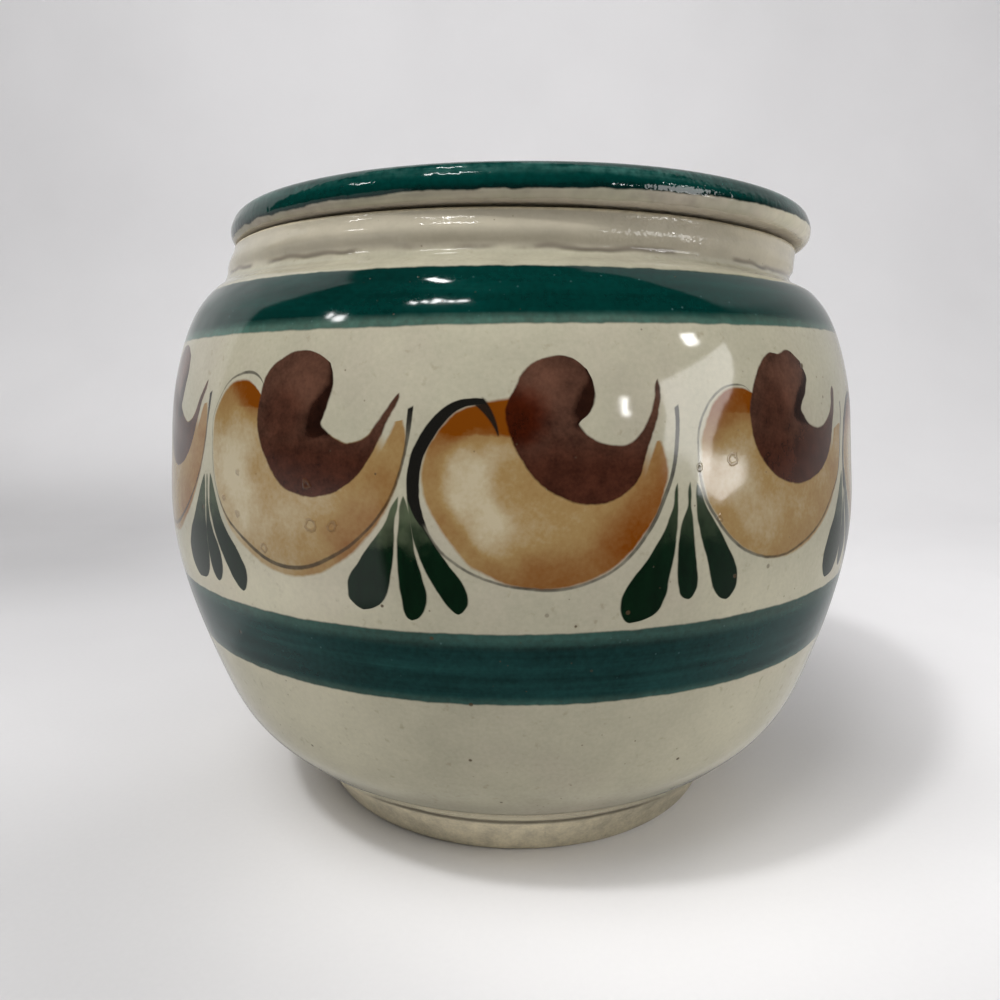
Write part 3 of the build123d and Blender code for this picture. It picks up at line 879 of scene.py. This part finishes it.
class JAR_OT_set_stage(bpy.types.Operator):
    """Sets the cloth, the light and the camera"""

    bl_idname = "jar.set_stage"
    bl_label = "Set the stage"

    def execute(self, context):
        settings = context.scene.jar_studio
        bpy.ops.object.select_all(action="DESELECT")
        bpy.ops.mesh.primitive_plane_add(size=4, location=(0, -1.5, 0))
        sweep = context.object
        sweep.name = "sweep"
        bpy.ops.object.transform_apply(location=True, rotation=False, scale=False)
        bpy.ops.object.mode_set(mode="EDIT")
        bpy.ops.mesh.select_all(action="DESELECT")
        bpy.ops.object.mode_set(mode="OBJECT")
        for edge in sweep.data.edges:
            edge.select = all(sweep.data.vertices[i].co.y > 0 for i in edge.vertices)
        bpy.ops.object.mode_set(mode="EDIT")
        bpy.ops.mesh.select_mode(type="EDGE")
        bpy.ops.mesh.extrude_region_move(TRANSFORM_OT_translate={"value": (0, 0, 1.2)})
        bpy.ops.object.mode_set(mode="OBJECT")
        for edge in sweep.data.edges:
            edge.select = all(sweep.data.vertices[i].co.y > 0 and sweep.data.vertices[i].co.z < 0.1
                              for i in edge.vertices)
        bpy.ops.object.mode_set(mode="EDIT")
        bpy.ops.mesh.bevel(offset=0.24, segments=24)
        bpy.ops.object.mode_set(mode="OBJECT")
        bpy.ops.object.shade_smooth()
        cloth = bpy.data.materials.new("cloth")
        brush = Brush(cloth)
        x, y, z = brush.split(brush.place)
        # The cloth's colour carries painted light and shade: a lighter backdrop, soft painted shade of
        # folds with a darker fold on the left, and a lighter floor to the right
        back = brush.step(y + z, 0.1, 0.6)
        fold_shade_and_grain = brush.noise(60, 3) * 0.06 + brush.noise(1, 2) * 0.03 \
            + brush.noise(150, 2, (1, 1, 0.7), 0.2) * back * 0.16 \
            - brush.step(y, 0.05, 0.18) * brush.step(y, 0.42, 0.28) * brush.step(x, -0.08, -0.22) * 0.2
        # A painted pool of light on the floor in front of the foot, and painted shade to its front left
        front = brush.step(brush.distance((x - 0.02) * 0.35 ** 0.5, y + 0.047), 0.06, 0.01) * 0.3 \
            - brush.step(x, 0.02, -0.06) * brush.step(y, 0, -0.06) * 0.16
        tone = fold_shade_and_grain + 0.87 + back * 0.28 + front + brush.step(x, 0.06, 0.13) * (1 - back) * 0.26
        brush.link(brush.deepen(tuple(settings.cloth), tone), "Principled BSDF", "Base Color")
        shader = cloth.node_tree.nodes["Principled BSDF"]
        shader.inputs["Roughness"].default_value = 0.95
        shader.inputs["Specular IOR Level"].default_value = 0.05
        sweep.data.materials.append(cloth)
        sweep.visible_glossy = False

        world = bpy.data.worlds.new("studio")
        context.scene.world = world
        paint_room(world, settings)

        add_light("key_light", -43, 57, settings.key * 0.65, 0.45)
        add_light("key_lamp", -43, 57, settings.key * 0.35, 0.06)
        add_light("window_light", 60, 25, settings.window, 0.45)

        bpy.ops.object.camera_add(location=(0, -settings.distance, settings.height))
        camera = context.object
        camera.name = "camera"
        tilt = Matrix.Rotation(math.pi / 2 - settings.pitch, 4, "X")
        roll = Matrix.Rotation(-settings.roll, 4, "Z")
        camera.matrix_world = Matrix.Translation(camera.location) @ tilt @ roll
        camera.data.sensor_width = 36
        camera.data.lens = 36 * settings.focal
        camera.data.shift_x = settings.shift
        camera.data.clip_start = 0.01
        context.scene.camera = camera
        context.scene.view_settings.view_transform = "Standard"
        return {"FINISHED"}


def add_light(name, round_about, rise, power, size):
    """Adds a soft lamp that looks at the jar, which the glaze doesn't mirror."""
    side, up = math.radians(round_about), math.radians(rise)
    bpy.ops.object.light_add(type="AREA")
    lamp = bpy.context.object
    lamp.name = name
    lamp.data.energy, lamp.data.size = power, size
    aim = Vector((math.sin(side) * math.cos(up), -math.cos(side) * math.cos(up), math.sin(up)))
    lamp.location = aim * 0.72 + Vector((0, 0, 0.06))
    lamp.rotation_euler = aim.to_track_quat("Z", "Y").to_euler()
    lamp.visible_glossy = False


def paint_room(world, settings):
    """The room's even light, and what the glaze mirrors: cloth behind, a dim room in front, and lamps."""
    brush = Brush(world, "Generated")
    x, y, z = brush.split(brush.place)
    round_about = brush.maths("ARCTAN2", x, -y) * (180 / math.pi)
    rise = brush.maths("ARCSINE", z) * (180 / math.pi)
    wavy = brush.node("ShaderNodeTexNoise",
                      inputs={"Vector": brush.place, "Scale": 9, "Detail": 2}) - 0.5

    # Cloth behind the camera's left and right, and the floor, which is dark where the jar stands on it
    left = brush.step(round_about + brush.step(rise, 42, 28) * 5.5 + wavy * 3, -98, -101) \
        * brush.step(rise, 57, 54)
    right = brush.step(rise, 78, 75) * brush.step(
        round_about - brush.step(rise, 52, 80) * 18 - brush.step(rise, 42, 28) * 3 + wavy * 3,
        84.5, 87.5 + brush.step(rise, 44, 24) * 42)
    behind = (left * (0.57 + wavy * 0.3) | (right * 0.47)) * brush.step(rise, -4, 2)
    spread = abs(round_about)
    floor = 0.02 + (brush.step(spread, 35, 110) * 0.28 + brush.step(spread, 110, 150) * 0.2) \
        * (brush.step(rise, -62, -25) * 0.75 + 0.25)
    floor = floor | (brush.step(round_about, -38, -42) * brush.step(rise, -35, -27) * 0.45)
    mirrored = behind + floor * brush.step(rise, 1, -3) * (1 - brush.step(spread, 146, 164) * 0.85) + 0.025

    # A window seen aslant, and under it a bright sill
    side, up = round_about + wavy * 4, rise + wavy * 0.8
    pane = (side * 0.25 + 8.4 - up) & (75.5 - side) & (up - side * 1.36 + 83.6) \
        & (up - 9 + side * 0.145) & (side - 46)
    sill = (up + 1.7 - abs(side - 67) * 0.15) & (8.8 - side * 0.12 - up) & (side - 58) & (76.2 - side)
    mirrored = mirrored + brush.step(pane, -0.3, 0.5) * 4.4 + brush.step(sill, -0.1, 0.15) * 8
    for lamp_round, lamp_rise, wide, tall, share in LAMPS:
        lamp = brush.step(abs(round_about - lamp_round + wavy * 6), wide + 0.4, wide - 0.4) \
            * brush.step(abs(rise - lamp_rise + wavy * 5), tall + 0.3, tall - 0.3)
        mirrored = mirrored + lamp * (share * settings.glint)
    rays = brush.node("ShaderNodeLightPath", output="Is Glossy Ray")
    seen = brush.node("ShaderNodeLightPath", output="Is Camera Ray")
    even = (z | 0) * 0.16 + brush.step(z, 0.72, 0.88) * settings.room
    strength = (mirrored * rays + even * (1 - rays)) * (1 - seen) + seen * 0.74
    brush.link(strength, "Background", "Strength")
    world.node_tree.nodes["Background"].inputs["Color"].default_value = (1, 0.99, 0.985, 1)


class JAR_PT_panel(bpy.types.Panel):
    """The steps that build the jar"""

    bl_idname = "JAR_PT_panel"
    bl_label = "Olive Jar"
    bl_space_type = "VIEW_3D"
    bl_region_type = "UI"
    bl_category = "Olive Jar"

    def draw(self, context):
        for group in (context.scene.jar_shape, context.scene.jar_glaze, context.scene.jar_studio):
            for name in group.bl_rna.properties.keys():
                if name not in ("rna_type", "name"):
                    self.layout.prop(group, name)
        for step in STEPS:
            self.layout.operator(step.bl_idname)


STEPS = (JAR_OT_throw_pot, JAR_OT_throw_lid, JAR_OT_set_stage)
CLASSES = (ShapeSettings, GlazeSettings, StudioSettings, *STEPS, JAR_PT_panel)


def register():
    for made in CLASSES:
        bpy.utils.register_class(made)
    bpy.types.Scene.jar_shape = bpy.props.PointerProperty(type=ShapeSettings)
    bpy.types.Scene.jar_glaze = bpy.props.PointerProperty(type=GlazeSettings)
    bpy.types.Scene.jar_studio = bpy.props.PointerProperty(type=StudioSettings)


def unregister():
    del bpy.types.Scene.jar_studio
    del bpy.types.Scene.jar_glaze
    del bpy.types.Scene.jar_shape
    for made in reversed(CLASSES):
        bpy.utils.unregister_class(made)


def main():
    register()
    bpy.ops.jar.throw_pot()
    bpy.ops.jar.throw_lid()
    bpy.ops.jar.set_stage()


if __name__ == "__main__":
    main()
